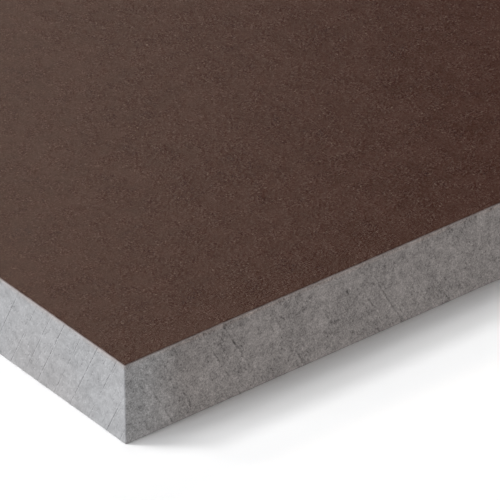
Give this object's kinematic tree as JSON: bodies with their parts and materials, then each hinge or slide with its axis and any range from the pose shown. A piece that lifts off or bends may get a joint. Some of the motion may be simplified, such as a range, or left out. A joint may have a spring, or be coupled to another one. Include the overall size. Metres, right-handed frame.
{
  "type": "fibre cement facade panel",
  "caption": "Flat rectangular fibre cement sheet for a rear-ventilated facade: matt brown colour coat on the face, square sawn grey edges and a plain grey back.",
  "frame": {"origin": "centre of the sheet's back, which lies on the floor", "axes": "+X along the sheet's length, +Y across its width, +Z through its thickness and out of the coated face"},
  "size_m": [2.5, 1.25, 0.008],
  "materials": {
    "face_coat": "matt brown acrylic colour coat with a fine sanded grain, on fibre cement",
    "cement_board": "bare grey fibre cement: sawn edges with slanting blade marks, plain back"
  },
  "bodies": {
    "root": {"panel": "face_coat"}
  },
  "joints": []
}
